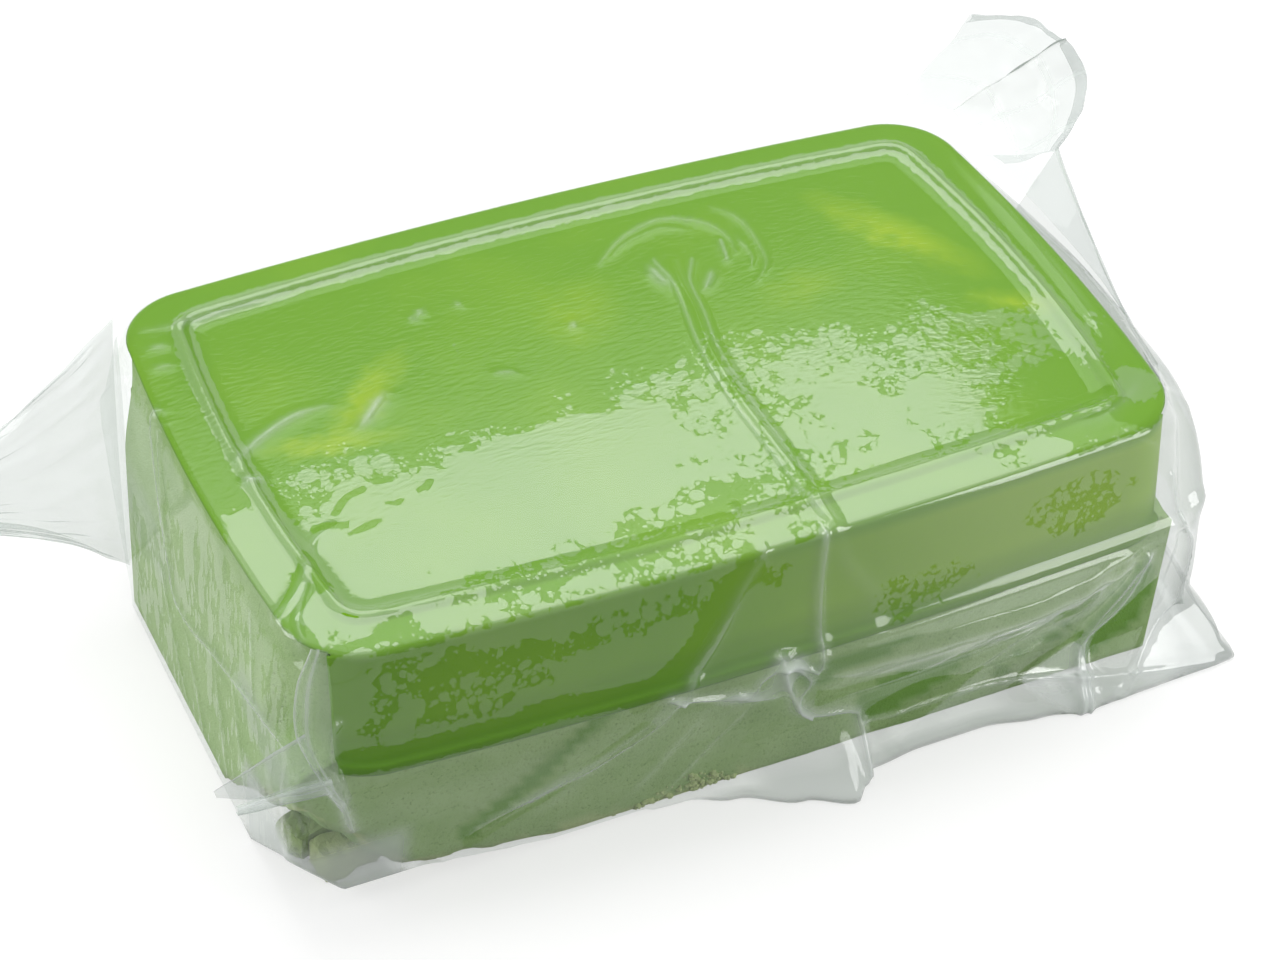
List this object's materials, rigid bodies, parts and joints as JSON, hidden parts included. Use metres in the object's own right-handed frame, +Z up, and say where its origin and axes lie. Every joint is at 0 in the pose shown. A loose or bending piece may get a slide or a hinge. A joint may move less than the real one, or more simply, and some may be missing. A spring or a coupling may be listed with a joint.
{
  "type": "wrapped floral foam brick",
  "caption": "Rectangular floral foam block seated in an upturned green plastic tray with bowed sides, wrapped together in clear film with gathered ends.",
  "frame": {"origin": "on the floor, under the middle of the foam block", "axes": "+X along the block, towards the end with the standing seal; +Y from the block's front to its back; +Z up, from the floor to the tray"},
  "size_m": [0.322, 0.1538, 0.1107],
  "materials": {
    "tray_plastic": "moulded light green polypropylene, glossy",
    "floral_foam": "cut phenolic foam, dusty matte",
    "foam_crumbs": "broken phenolic foam, dusty matte",
    "clear_film": "thin clear polyolefin film, creased"
  },
  "bodies": {
    "root": {"tray": "tray_plastic", "foam_brick": "floral_foam", "foam_chips": "foam_crumbs", "film_wrap": "clear_film"}
  },
  "joints": []
}
